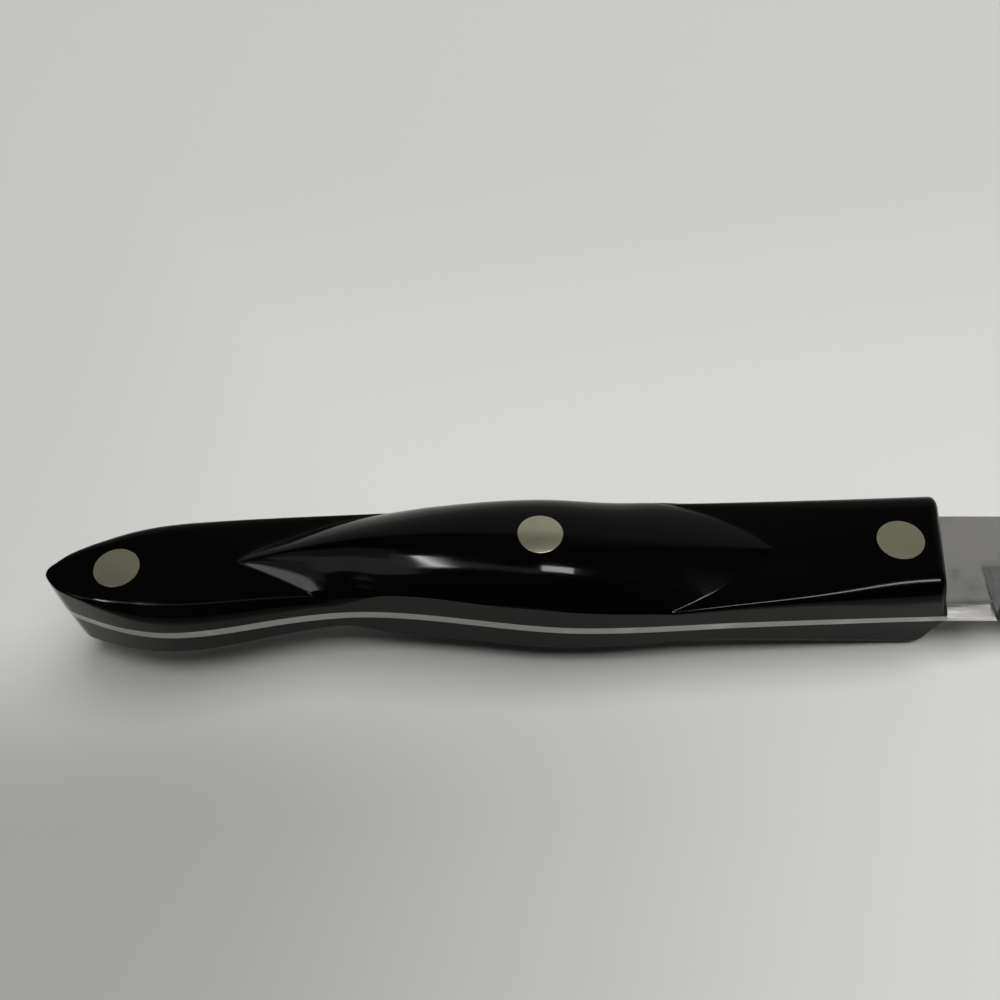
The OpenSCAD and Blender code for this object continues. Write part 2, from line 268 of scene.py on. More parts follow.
def crease(x, side):
    """Share of the half width that the hump takes at x; it is more than 1 where the wall cuts the hump."""
    rear, front = rear_crease[side], front_crease[side]
    from_rear, from_front = x - rear[-1][0], front[0][0] - x
    least = crown_share[side]
    rear_more = (rear[-1][1] - least) * near(from_rear, crown_x - rear[-1][0]) ** 2
    front_more = (front[0][1] - least) * near(from_front, front[0][0] - crown_x) ** 2
    settled = least + np.where(x < crown_x, rear_more, front_more)
    return np.select([(x <= rear_nose) | (x >= front_nose), from_rear < 0, from_front < 0],
                     [0.0, along(rear, x), along(front, x)], settled)


print("noses lie at", rear_nose, "and", front_nose, "mm")

# %% Crown line and foot of the hump
crown_z = 9.89
wall_z = 3.5
bend_run, ramp_slope = 5.8, 0.168
ramp_run = front_nose - crown_x - bend_run
ramp_drop = crown_z - front_z - front_fall * front_nose - ramp_slope * bend_run / 2
ramp_ease = 2 * (ramp_slope * ramp_run - ramp_drop) / ramp_run ** 2
foot_blend = 0.3


def crown(x):
    """Height of the crown line: a parabola to the rear nose, and a bend and a ramp to the front nose."""
    d = np.abs(x - crown_x)
    bent, onward = np.minimum(d, bend_run), np.maximum(d - bend_run, 0)
    rear_drop = (crown_z - rear_flat(rear_nose)) * (d / (crown_x - rear_nose)) ** 2
    front_drop = ramp_slope * (bent ** 2 / (2 * bend_run) + onward) - ramp_ease * onward ** 2 / 2
    return crown_z - np.where(x < crown_x, rear_drop, front_drop)


def foot(x):
    """Height at which the hump's flank ends: on the flat, and on the wall where the flat lies lower."""
    above = np.where(x < crown_x, rear_flat(x), front_plane(x)) - wall_z
    return wall_z + (above + np.sqrt(above ** 2 + foot_blend ** 2)) / 2


print("crown stands", crown_z, "mm over the middle of the steel")

# %% Hump on the flats
rear_roof, front_roof = -94.0, {-1: -34.0, 1: -22.0}
round_flank, roof_flank = 2.0, 1.4
round_lift, roof_lift = 0.5, 1.0
least_rise = 0.5
least_edge = 1e-6
rear_blend, front_blend = 0.1, 0.04
rim_fade = 7.0


def hump(x, side, share):
    """Height of the hump: an ellipse at the crown, a roof towards the noses."""
    roof_end = np.where(x < crown_x, rear_roof, front_roof[side])
    roof = 1 - near(np.abs(x - crown_x), np.abs(roof_end - crown_x))
    flank = round_flank + (roof_flank - round_flank) * roof
    lift = round_lift + (roof_lift - round_lift) * roof
    low = foot(x)
    rise = crown(x) - low
    left = 1 - share ** flank
    inside = np.maximum(rise, 0) * np.abs(left) ** lift
    return low + np.where(left > 0, inside, np.maximum(rise, least_rise) * left)


def scale_height(x, side, inset):
    """Height of the scale at an inset from its wall, with a narrow fillet in the crease."""
    edge = crease(x, side)
    share = np.maximum(1 - inset / half_width(x), 0) / np.maximum(edge, least_edge)
    fall = rim_drop(x, side, inset)
    on_flat = flat_height(x) - fall
    on_hump = hump(x, side, share) - fall * near(x - rear_end[side], rim_fade)
    blend = np.where(x < crown_x, rear_blend, front_blend)
    joined = (on_hump + on_flat + np.sqrt((on_hump - on_flat) ** 2 + blend ** 2)) / 2
    return np.select([edge <= 0, edge >= 1], [on_flat, on_hump], joined)


print("a scale is", round(crown_z - tang_half, 2), "mm thick at the crown")

# %% [markdown]
# ## Lofting
# A shape like this can't be extruded or spun, and a few sculpted control points would lose the creases. A
# shipbuilder would cut sections and plank over them, and that is a loft: a grid primitive has one row of
# vertices for each section. The rows are moved onto the sections, the seam is merged, both ends are filled,
# and the normals are turned outwards.

# %% Helper that lofts rings
SEAM = 1e-8
GRID_DIGITS = 6


def select_only(piece):
    """Deselects everything else and makes the piece active."""
    bpy.ops.object.select_all(action="DESELECT")
    piece.select_set(True)
    bpy.context.view_layer.objects.active = piece


def loft(name, rings):
    """Closed mesh through rings, an array of sections by points by three, in knife millimetres."""
    sections, points = rings.shape[:2]
    bpy.ops.object.select_all(action="DESELECT")
    bpy.ops.mesh.primitive_grid_add(x_subdivisions=points, y_subdivisions=sections - 1, size=1)
    piece = bpy.context.object
    piece.name = piece.data.name = name
    grid = np.empty(len(piece.data.vertices) * 3)
    piece.data.vertices.foreach_get("co", grid)
    grid = np.round(grid.reshape(-1, 3), GRID_DIGITS)
    order = np.lexsort((grid[:, 0], grid[:, 1]))
    grid[order] = in_frame(np.concatenate([rings, rings[:, :1]], axis=1).reshape(-1, 3))
    piece.data.vertices.foreach_set("co", grid.ravel())
    bpy.ops.object.mode_set(mode="EDIT")
    bpy.ops.mesh.select_all(action="SELECT")
    bpy.ops.mesh.remove_doubles(threshold=SEAM)
    bpy.ops.mesh.fill_holes(sides=0)
    bpy.ops.mesh.select_all(action="SELECT")
    bpy.ops.mesh.normals_make_consistent(inside=False)
    bpy.ops.object.mode_set(mode="OBJECT")
    print(name, "lofted:", sections, "sections of", points, "points")
    return piece


# %% [markdown]
# ## Sections of a scale
# The points of a section are crowded where light turns quickly: on the rounded rim, and in the crease. A
# polisher can't keep that crease knife-sharp, so it gets a narrow fillet, and the fillet catches the thin
# bright line that the photograph shows. Towards the blade the sections lean forward.

# %% Half of a section
rim_steps, flat_steps, fillet_steps, hump_steps = 14, 9, 8, 30
hump_crowding = 1.5
fillet, fillet_share = 0.3, 1 / 16
hump_rim, rim_run = 3.0, 6.0


def half_section(x, side):
    """Offsets from the middle and heights of half of each section, from the wall inwards."""
    x = x[:, None]
    width, edge = half_width(x), crease(x, side)
    soft = np.minimum(fillet, width * fillet_share)
    bound = np.clip((1 - edge) * width, 3 * soft, width - 2 * soft)
    from_corner = near(x - rear_end[side], rim_run) + near(front_end[side] - x, rim_run)
    rim = np.where(edge < 1, np.minimum(rim_width(x, side), bound - 2 * soft),
                   hump_rim + (soft - hump_rim) * from_corner)
    stop = np.maximum(bound, rim + 2 * soft)
    quarter = 1 - np.cos(np.linspace(0, math.pi / 2, rim_steps + 1))
    inset = np.concatenate([rim * quarter, span(rim, stop - soft, flat_steps),
                            span(stop - soft, stop + soft, fillet_steps),
                            span(stop + soft, width, hump_steps, hump_crowding)], axis=1)
    return side * (width - inset), scale_height(x, side, inset)


print("half a section has", 1 + rim_steps + flat_steps + fillet_steps + hump_steps, "points on the surface")

# %% Whole sections
wall_rise = np.array([0, 0.35, 0.7, 0.985])
edge_break = 0.05
lean_run = 12.0
butt_lean, lean_from = 0.5, 6.0


def scale_rings(x):
    """Sections of the right scale at the places x."""
    low_y, low_z = half_section(x, -1)
    high_y, high_z = half_section(x, 1)
    top_y = np.concatenate([low_y, high_y[:, -2::-1]], axis=1)
    top_z = np.concatenate([low_z, high_z[:, -2::-1]], axis=1)
    width, steel = half_width(x)[:, None], steel_half(x)[:, None]
    low_wall = steel + edge_break + (low_z[:, :1] - steel - edge_break) * wall_rise
    high_wall = steel + edge_break + (high_z[:, :1] - steel - edge_break) * wall_rise[::-1]
    inner = np.maximum(width - edge_break, width / 2)
    y = np.concatenate([-inner, -width + 0 * low_wall, top_y, width + 0 * high_wall, inner], axis=1)
    z = np.concatenate([steel, low_wall, top_z, high_wall, steel], axis=1)
    y = y + middle(x)[:, None]
    lean = front_lean * clamp(1 + x[:, None] / lean_run) * y / heel_h
    on_top = np.zeros(y.shape[1])
    on_top[1 + len(wall_rise):-1 - len(wall_rise)] = 1
    inward = butt_lean * near(x - butt, lean_from)[:, None] * (z / rear_z) ** 2
    return np.stack([x[:, None] + lean + inward, y, z + front_fall * lean * on_top], axis=2)


print("each wall has", len(wall_rise), "points")

# %% [markdown]
# ## Right scale
# Evenly spaced sections would waste points on the plain stretches. So the sections stand closest at the
# round butt, in the creases and at the front end, where the surface changes most.

# %% Loft the right scale
butt_turn = np.radians(np.linspace(10.6, 90, 18))
butt_stations = butt + butt_r * (1 - np.cos(butt_turn))
stations = np.concatenate([butt_stations, span(butt + butt_r, rear_nose, 80),
                           span(rear_nose, rear_end[-1], 80),
                           span(rear_end[-1], rear_end[1], 50), span(rear_end[1], front_end[1], 130),
                           span(front_end[1], front_low, 16), span(front_low, front_nose, 90),
                           span(front_nose, -front_run, 80), span(-front_run, 0, 26)])
right_scale = loft("right_handle_scale", scale_rings(stations))

# %% [markdown]
# ## Left scale
# A mirrored copy of the right scale would nearly do. But the photograph shows the left scale's lower wall,
# and that reaches down further than a mirror image would. So the left scale is lofted from the same
# formulas, with tighter rims on its belly side and an upright butt end, and its sections are mirrored.

# %% Loft the left scale
butt_lean = 0.0
rear_rim[-1] = [(-128, 0.4, 0), (-121.8, 0.5, 0.05), (-110, 1.2, 0), (-84, 1.2, 0)]
front_rim[-1] = [(-43, 0.8, 0.01), (-20, 1.0, 0.01), (0, 1.2, 0.01)]
left_scale = loft("left_handle_scale", scale_rings(stations) * (1, 1, -1))

# %% [markdown]
# ## Rivet holes
# Each scale is drilled for the rivet's sleeve and counterbored for its head. A drill cuts round holes
# through whatever shape is there, and the boolean modifier does the same with a stepped cutter: a cylinder
# whose top face is extruded, widened and extruded again.

# %% Places and seats of the rivets
head_r, sleeve_r, pin_r = 3.2, 2.0, 1.4
head_t = 2.0
crown_fall = 0.5
rivets = {"rear": (-117.7, 4.0), "middle": (-57.0, 7.9), "front": (-6.4, heel_h / 2)}
seats = {"rear": float(rear_flat(rivets["rear"][0] + head_r)) - head_t,
         "middle": crown_z - crown_fall - head_t,
         "front": float(front_plane(rivets["front"][0] - head_r)) - head_t}
print("heads sit at", {name: round(seat, 2) for name, seat in seats.items()}, "mm")

# %% Helpers for modelling by hand
round_sides = 96
smooth_angle = math.radians(22)


def pick_faces(piece, test):
    """Selects only the faces of the piece in edit mode whose centre and normal pass the test."""
    bpy.ops.mesh.select_all(action="DESELECT")
    mesh = bmesh.from_edit_mesh(piece.data)
    for face in mesh.faces:
        if test(face.calc_center_median(), face.normal):
            face.select_set(True)
    bmesh.update_edit_mesh(piece.data)


def upright_cylinder(name, at, radius, low, high):
    """Cylinder primitive on the rivet's axis between two heights, left open in edit mode."""
    bpy.ops.object.select_all(action="DESELECT")
    bpy.ops.mesh.primitive_cylinder_add(vertices=round_sides, radius=radius * MM, depth=(high - low) * MM,
                                        location=in_frame((*at, (low + high) / 2)))
    bpy.ops.object.transform_apply(location=True, rotation=False, scale=False)
    piece = bpy.context.object
    piece.name = piece.data.name = name
    bpy.ops.object.mode_set(mode="EDIT")
    return piece


def extrude_up(height):
    """Extrudes the selected face by a height along z."""
    bpy.ops.mesh.extrude_region_move(TRANSFORM_OT_translate={"value": (0, 0, height * MM)})


def mirror_side(piece):
    """Turns a piece of the right side into its mirror image on the left."""
    select_only(piece)
    bpy.ops.object.mode_set(mode="EDIT")
    bpy.ops.mesh.select_all(action="SELECT")
    bpy.ops.transform.resize(value=(1, 1, -1), center_override=in_frame((0, 0, 0)))
    bpy.ops.mesh.normals_make_consistent(inside=False)
    bpy.ops.object.mode_set(mode="OBJECT")


def smooth(piece):
    """Smooth shading, except across real edges."""
    select_only(piece)
    bpy.ops.object.shade_smooth_by_angle(angle=smooth_angle)


# %% Cut the rivet holes
sleeve_play = 0.1
head_play = 0.02
below, beyond = -1.0, 20.0
facing = 0.9


def stepped_drill(at, seat):
    """Cutter for a rivet's sleeve and head."""
    drill_r = sleeve_r + sleeve_play
    drill = upright_cylinder("drill", at, drill_r, below, seat)
    pick_faces(drill, lambda centre, normal: normal.z > facing)
    bpy.ops.mesh.extrude_region()
    widen = (head_r + head_play) / drill_r
    bpy.ops.transform.resize(value=(widen, widen, 1), center_override=in_frame((*at, seat)))
    extrude_up(beyond)
    bpy.ops.object.mode_set(mode="OBJECT")
    return drill


def cut(piece, cutter):
    """Takes the cutter out of the piece and deletes it."""
    select_only(piece)
    drilling = piece.modifiers.new("drilling", "BOOLEAN")
    drilling.object = cutter
    drilling.solver = "EXACT"
    bpy.ops.object.modifier_apply(modifier=drilling.name)
    bpy.data.objects.remove(cutter, do_unlink=True)


for name, at in rivets.items():
    cut(right_scale, stepped_drill(at, seats[name]))
    left_drill = stepped_drill(at, seats[name])
    mirror_side(left_drill)
    cut(left_scale, left_drill)
for scale in (right_scale, left_scale):
    smooth(scale)
    print(scale.name, len(scale.data.polygons), "faces after drilling")

# %% [markdown]
# ## Rivets
# A cutlery rivet is two turned pieces: a pin with a head, and a tube with a head that the pin is pressed
# into. After pressing, both heads are ground flush with the scale, and the wheel leaves a fine bright edge
# round each one. A head starts as a cylinder. Its lower face is inset and extruded to the shank, its
# upper face is inset in rings that can follow the hump, and its rim is bevelled.

# %% Helpers that grind a head flush


def flush_height(name, x, y):
    """Height of the scale's surface at a rivet."""
    if name == "rear":
        return rear_flat(x)
    if name == "front":
        return front_plane(x)
    inset = half_width(x) - np.abs(y - middle(x))
    return np.where(y < middle(x), scale_height(x, -1, inset), scale_height(x, 1, inset))


def grind_flush(piece, name, top):
    """Moves the points near the top of a head onto the surface of the scale."""
    count = len(piece.data.vertices)
    places = np.empty(count * 3)
    piece.data.vertices.foreach_get("co", places)
    places = places.reshape(-1, 3)
    x, y, z = (places / MM - heel).T
    on_face = z > top - head_t / 2
    places[on_face, 2] += (flush_height(name, x, y)[on_face] - top) * MM
    piece.data.vertices.foreach_set("co", places.ravel())


# %% Make the rivets
shank_gap = 0.6
rim_bevel = 0.02
bevel_steps = 3
face_rings = 6
same_level = 1e-6


def rivet_half(name, tube):
    """One half of a rivet: the pin on the right side, or the tube, mirrored to the left side."""
    at, seat = rivets[name], seats[name]
    top = seat + head_t
    piece = upright_cylinder(f"{name}_rivet_headed_{'tube' if tube else 'pin'}", at, head_r, seat, top)
    middle_z = in_frame((0, 0, seat + head_t / 2))[2]
    pick_faces(piece, lambda centre, normal: normal.z < -facing)
    shank_r = sleeve_r if tube else pin_r
    bpy.ops.mesh.inset(thickness=(head_r - shank_r) * MM)
    extrude_up(shank_gap - 2 * seat)
    if tube:
        bpy.ops.mesh.inset(thickness=(sleeve_r - pin_r) * MM)
        extrude_up(2 * seat - shank_gap)
    pick_faces(piece, lambda centre, normal: normal.z > facing and centre.z > middle_z)
    bpy.ops.mesh.bevel(offset=rim_bevel * MM, segments=bevel_steps, affect="EDGES")
    top_z = in_frame((0, 0, top))[2]
    pick_faces(piece, lambda centre, normal: normal.z > facing and abs(centre.z - top_z) < same_level)
    bpy.ops.mesh.inset(thickness=rim_bevel * MM)
    for _ in range(face_rings):
        bpy.ops.mesh.inset(thickness=(head_r - 2 * rim_bevel) / (face_rings + 1) * MM)
    bpy.ops.object.mode_set(mode="OBJECT")
    grind_flush(piece, name, top)
    if tube:
        mirror_side(piece)
    smooth(piece)
    print(piece.name, len(piece.data.polygons), "faces")
    return piece


rivet_halves = {}
for name in rivets:
    rivet_halves[f"{name}_rivet_pin"] = rivet_half(name, tube=False)
    rivet_halves[f"{name}_rivet_sleeve"] = rivet_half(name, tube=True)

# %% [markdown]
# ## Blade and tang
# The steel is one stamped strip, ground on the right side only: a bevel thins it towards the edge, and a
# narrow wheel cuts a row of scallops into the bevel. Where a scallop runs through the strip, the edge
# steps back, and that gives the points between the scallops. A boolean for every scallop would leave long
# thin faces. Instead the right face is a formula for the height over the middle of the steel, so the steel
# can be lofted too, with many sections along the scallops.

# %% Outline of the steel
tip_y = 2.0
drop_x, rise_x = 0.55 * blade_len, 0.7 * blade_len
top_line = [(0, heel_h, 0), (drop_x, heel_h, 0), (blade_len, tip_y, -0.62)]
edge_line = [(0, 0, 0), (rise_x, 0, 0), (blade_len, tip_y, 0.12)]


def lower_outline(x):
    """Belly of the tang, then the edge before the scallops are cut."""
    return np.where(x < 0, middle(x) - half_width(x), along(edge_line, x))


def upper_outline(x):
    """Spine of the tang and of the blade."""
    return np.where(x < 0, middle(x) + half_width(x), along(top_line, x))


print("spine drops from", round(drop_x, 2), "mm on, and the edge rises from", round(rise_x, 2), "mm on")

# %% Scallops
heel_len = 7.0
edge_t = 0.25
pitch, scallop_r, scallop_depth = 5.5, 6.0, 0.65
scallop_lean = math.radians(18)
plain_tip = 2.0
scallops = math.floor((blade_len - heel_len - plain_tip) / pitch)


def nearest_scallop(x):
    """Place of the scallop nearest to x."""
    i = np.clip(np.floor((x - heel_len) / pitch), 0, scallops - 1)
    return heel_len + pitch * (i + 0.5)


def wheel_rise(x):
    """How far the grinding wheel has risen beside the middle of its scallop."""
    d = np.minimum(np.abs(x - nearest_scallop(x)), scallop_r)
    return (scallop_r - np.sqrt(scallop_r ** 2 - d * d)) / math.cos(scallop_lean)


def cut_edge(x):
    """Edge of the blade after the scallops are cut."""
    step_back = (scallop_depth - edge_t - wheel_rise(x)) / math.tan(scallop_lean)
    scalloped = np.maximum(along(edge_line, x), along(edge_line, nearest_scallop(x)) + step_back)
    return np.where(x < heel_len, lower_outline(x), scalloped)


print(scallops, "scallops, one every", pitch, "mm")

# %% Ground side of the steel
tip_half = 0.3
bevel_h = 8.5
bevel_fall = (2 * blade_half - edge_t) / bevel_h
keen_t = 0.02
plunge = 0.5
plunge_lean = 0.06
heel_top, heel_line, heel_widening, heel_slope = 2.6, 1.0, 0.16, 0.25
heel_start = 0.25


def plain_face(x):
    """Height of the right face before grinding: it thins towards the tip."""
    thinning = clamp((x - blade_from) / (blade_len - blade_from))
    return np.where(x < blade_from, steel_half(x), blade_half + (tip_half - blade_half) * thinning)


def heel_drop(x, y):
    """How far the plain heel is rounded down towards its edge."""
    line = heel_line + heel_widening * np.clip(x, 0, heel_len)
    run = heel_top - line
    rounding = np.clip(heel_top - y, 0, run)
    return heel_slope * (rounding ** 2 / (2 * run) + np.maximum(line - y, 0)) * (1 - near(x, heel_start))


def ground_face(x, y):
    """Height of the right face with the bevel, the scallops and the eased heel."""
    face = plain_face(x)
    bevel = blade_half - bevel_fall * (bevel_h - y)
    floor = edge_t - blade_half - scallop_depth
    scallop = floor + (y - along(edge_line, nearest_scallop(x))) * math.tan(scallop_lean) + wheel_rise(x)
    ground = np.maximum(np.minimum(np.minimum(face, bevel), scallop), keen_t - blade_half)
    started = 1 - near(x - heel_len + plunge_lean * y, plunge)
    plain = np.where(x < heel_len + plunge, face - heel_drop(x, y), face)
    return plain + (ground - plain) * started


print("bevel is", bevel_h, "mm high and thins the steel to", edge_t, "mm")

# %% Loft the steel
chamfer, chamfer_share = 0.06, 1 / 8
least_bevel = 0.3
low_steps, high_steps, left_steps = 22, 8, 8
edge_crowding = 1.6
tip_end = 0.01


def steel_rings(x):
    """Sections of the steel: up the right face, over the spine and down the left face."""
    x = x[:, None]
    low, high = cut_edge(x), upper_outline(x)
    size = np.minimum(chamfer, (high - low) * chamfer_share)
    bevel_top = np.minimum(np.maximum(bevel_h, low), high - 2 * size)
    bevel_top = np.maximum(bevel_top, low + (high - low) * least_bevel)
    lower = low + (bevel_top - low) * np.linspace(0, 1, low_steps) ** edge_crowding
    upper = span(bevel_top, high - size, high_steps)
    right_y = np.concatenate([lower, upper, high], axis=1)
    right_z = ground_face(x, right_y)
    right_z[:, -1:] -= size
    left_y = high + (low - high) * np.linspace(0, 1, left_steps)
    left_z = -steel_half(x) + 0 * left_y
    left_z[:, :1] += size
    y = np.concatenate([right_y, left_y], axis=1)
    z = np.concatenate([right_z, left_z], axis=1)
    return np.stack([x + 0 * y, y, z], axis=2)


steel_stations = np.concatenate([butt_stations, span(butt + butt_r, front_low, 150),
                                 span(front_low, 0, 50), span(0, heel_len, 28),
                                 span(heel_len, blade_len - plain_tip, 960),
                                 span(blade_len - plain_tip, blade_len - tip_end, 40)])
steel = loft("serrated_blade", steel_rings(steel_stations))
for at in rivets.values():
    bore = upright_cylinder("bore", at, sleeve_r + sleeve_play, -beyond, beyond)
    bpy.ops.object.mode_set(mode="OBJECT")
    cut(steel, bore)
smooth(steel)
print(steel.name, len(steel.data.polygons), "faces after drilling")

# %% [markdown]
# ## Ground and dull areas of the steel
# The wheel leaves its marks only where it has touched the steel, and the edge of the tang between the
# scales is duller than the blade. Two vertex attributes say where that is, so that one finish can follow
# them, with no second material.

# %% Mark the ground and dull areas
touched = 0.01
dull_to = 0.5
places = np.empty(len(steel.data.vertices) * 3)
steel.data.vertices.foreach_get("co", places)
mark_x, mark_y, mark_z = (places.reshape(-1, 3) / MM - heel).T
ground = ((mark_x > heel_len + plunge / 2) & (mark_z > -blade_half + keen_t / 2)
          & (mark_z < plain_face(mark_x) - touched) & (mark_y < bevel_h))
mark = steel.data.attributes.new("ground", "FLOAT", "POINT")
mark.data.foreach_set("value", ground.astype(float))
dull = steel.data.attributes.new("dull", "FLOAT", "POINT")
dull.data.foreach_set("value", (mark_x < dull_to).astype(float))
print(int(ground.sum()), "points lie on the ground area")

# %% [markdown]
# ## Effects that finishes share
# Hairline scratches and soft clouds of wear show on the resin, the steel and the rivets alike, at other
# sizes, and dust specks show on the resin. Each effect is a node group that is built once and placed in
# every material that needs it. All of them read object coordinates, so the pattern keeps its real size.

# %% Helpers for shader nodes


def node(tree, kind, values=None, **settings):
    """New node with its settings, and with its inputs set to values or linked to sockets."""
    made = tree.nodes.new(kind)
    for name, value in settings.items():
        setattr(made, name, value)
    for name, value in (values or {}).items():
        if isinstance(value, bpy.types.NodeSocket):
            tree.links.new(value, made.inputs[name])
        else:
            made.inputs[name].default_value = value
    return made


def mix_colours(tree, share, first, second):
    """Colour between two colours."""
    mixer = node(tree, "ShaderNodeMix", {0: share, 6: first, 7: second}, data_type="RGBA")
    return mixer.outputs[2]


def math_node(tree, operation, first, second):
    """Result of one operation on two values."""
    made = node(tree, "ShaderNodeMath", {0: first, 1: second}, operation=operation)
    return made.outputs[0]


def remap(tree, value, low, high, to_low, to_high):
    """Value carried smoothly from one range to another, and kept inside it."""
    made = node(tree, "ShaderNodeMapRange", {"Value": value, "From Min": low, "From Max": high,
                                             "To Min": to_low, "To Max": to_high},
                interpolation_type="SMOOTHSTEP")
    return made.outputs["Result"]


# %% Helpers for coordinates and node groups


def stretched_place(tree, stretch):
    """Object coordinates, stretched along the axes."""
    place = node(tree, "ShaderNodeTexCoord").outputs["Object"]
    return node(tree, "ShaderNodeVectorMath", {0: place, 1: stretch}, operation="MULTIPLY").outputs[0]


def split_place(tree, kind):
    """Outputs X, Y and Z of one kind of texture coordinates."""
    place = node(tree, "ShaderNodeTexCoord").outputs[kind]
    return node(tree, "ShaderNodeSeparateXYZ", {0: place}).outputs


def new_group(name, inputs, output):
    """Empty node group with named inputs and one output, and its input and output nodes."""
    tree = bpy.data.node_groups.new(name, "ShaderNodeTree")
    for title, (kind, value) in inputs.items():
        socket = tree.interface.new_socket(name=title, in_out="INPUT", socket_type=kind)
        socket.default_value = value
    tree.interface.new_socket(name=output, in_out="OUTPUT", socket_type="NodeSocketFloat")
    return tree, node(tree, "NodeGroupInput").outputs, node(tree, "NodeGroupOutput").inputs


# %% Effects as node groups
VALUE, VECTOR = "NodeSocketFloat", "NodeSocketVector"

scratch_inputs = {"Stretch": (VECTOR, (1, 1, 1)), "Scale": (VALUE, 800), "Width": (VALUE, 0.02)}
scratches, given, out = new_group("hairline_scratches", scratch_inputs, "Lines")
streaks = node(scratches, "ShaderNodeTexNoise", {"Vector": stretched_place(scratches, given["Stretch"]),
                                                 "Scale": given["Scale"], "Detail": 3.0})
from_middle = math_node(scratches, "SUBTRACT", streaks.outputs[0], 0.5)
off_middle = math_node(scratches, "ABSOLUTE", from_middle, 0.0)
scratches.links.new(remap(scratches, off_middle, 0.0, given["Width"], 1.0, 0.0), out["Lines"])

cloud_inputs = {"Stretch": (VECTOR, (1, 1, 1)), "Scale": (VALUE, 100), "From": (VALUE, 0.4),
                "To": (VALUE, 0.6)}
clouds, given, out = new_group("clouds_of_wear", cloud_inputs, "Cloud")
cloud = node(clouds, "ShaderNodeTexNoise", {"Vector": stretched_place(clouds, given["Stretch"]),
                                            "Scale": given["Scale"], "Detail": 4.0})
clouds.links.new(remap(clouds, cloud.outputs[0], given["From"], given["To"], 0.0, 1.0), out["Cloud"])

speck_inputs = {"Scale": (VALUE, 400), "Size": (VALUE, 0.05)}
specks, given, out = new_group("dust_specks", speck_inputs, "Specks")
cells = node(specks, "ShaderNodeTexVoronoi", {"Vector": stretched_place(specks, (1, 1, 1)),
                                              "Scale": given["Scale"]})
dot = remap(specks, cells.outputs["Distance"], 0.0, given["Size"], 1.0, 0.0)
chosen = remap(specks, cells.outputs["Color"], 0.55, 0.75, 0.0, 1.0)
specks.links.new(math_node(specks, "MULTIPLY", dot, chosen), out["Specks"])
print("effects:", scratches.name, clouds.name, specks.name)

# %% [markdown]
# ## Finishes
# The scales are moulded from a near-black resin and polished. Handling has left hairlines and dust on them,
# and has rubbed the lower rim next to the blade. The steel is satin, with fine lines along the blade,
# grinding marks across the bevel, and faint stains. The rivets are nickel silver, a warm grey alloy.
# One flat colour would look like a toy under any light, so the wear changes the colour and the roughness
# from place to place, and the lines on the steel have a depth too.

# %% Helpers for finishes


def effect(tree, group, **values):
    """Output of a shared effect, placed in a material with its own values."""
    placed = node(tree, "ShaderNodeGroup", values, node_tree=group)
    return placed.outputs[0]


def new_finish(name):
    """Material with a Principled shader, its node tree and the shader's node."""
    finish = bpy.data.materials.new(name)
    finish.use_nodes = True
    return finish, finish.node_tree, finish.node_tree.nodes["Principled BSDF"]


def relief(tree, shader, height, depth):
    """Bump from a height, with its depth in millimetres."""
    bump = node(tree, "ShaderNodeBump", {"Height": height, "Distance": depth * MM, "Strength": 1.0})
    tree.links.new(bump.outputs["Normal"], shader.inputs["Normal"])


# %% Polished resin
resin, tree, shader = new_finish("polished_resin")
flow = effect(tree, clouds, Stretch=(0.3, 1, 1), Scale=90, From=0.35, To=0.7)
hairlines = effect(tree, scratches, Stretch=(0.05, 1, 1), Scale=1500, Width=0.006)
dust = effect(tree, specks, Scale=420, Size=0.03)
haze = effect(tree, clouds, Scale=160, From=0.4, To=0.75)
near_black, brown_black = (0.0008, 0.0007, 0.0007, 1), (0.0018, 0.0014, 0.0012, 1)
dust_grey = (0.06, 0.055, 0.05, 1)
body = mix_colours(tree, flow, near_black, brown_black)
tree.links.new(mix_colours(tree, dust, body, dust_grey), shader.inputs["Base Color"])
rub_along, rub_across = (-0.0305, -0.0205), (0.0006, -0.0019)
place = split_place(tree, "Object")
rubbed = math_node(tree, "MULTIPLY", remap(tree, place["X"], *rub_along, 0.0, 1.0),
                   remap(tree, place["Y"], *rub_across, 0.0, 1.0))
rough = remap(tree, haze, 0, 1, 0.07, 0.1)
for wear, more in ((hairlines, 0.04), (rubbed, 0.06)):
    rough = math_node(tree, "ADD", rough, math_node(tree, "MULTIPLY", wear, more))
tree.links.new(rough, shader.inputs["Roughness"])
shader.inputs["Specular IOR Level"].default_value = 0.1
print(resin.name, "has", len(tree.nodes), "nodes")

# %% Satin steel
satin, tree, shader = new_finish("satin_steel")
marked = node(tree, "ShaderNodeAttribute", attribute_name="ground").outputs["Fac"]
lengthwise = effect(tree, scratches, Stretch=(0.03, 1, 1), Scale=2600, Width=0.06)
crosswise = effect(tree, scratches, Stretch=(1, 0.04, 1), Scale=3200, Width=0.08)
stains = effect(tree, clouds, Stretch=(0.7, 1, 1), Scale=210, From=0.52, To=0.72)
lines = node(tree, "ShaderNodeMix", {0: marked, 2: lengthwise, 3: crosswise}, data_type="FLOAT").outputs[0]
dulled = node(tree, "ShaderNodeAttribute", attribute_name="dull").outputs["Fac"]
bright_steel, dull_steel = (0.63, 0.62, 0.595, 1), (0.33, 0.325, 0.315, 1)
ground_steel, stained_steel = (0.3, 0.3, 0.298, 1), (0.44, 0.435, 0.42, 1)
plain = mix_colours(tree, dulled, bright_steel, dull_steel)
clean = mix_colours(tree, marked, plain, ground_steel)
tree.links.new(mix_colours(tree, stains, clean, stained_steel), shader.inputs["Base Color"])
tree.links.new(math_node(tree, "ADD", remap(tree, marked, 0, 1, 0.22, 0.3),
                         math_node(tree, "MULTIPLY", lines, 0.05)), shader.inputs["Roughness"])
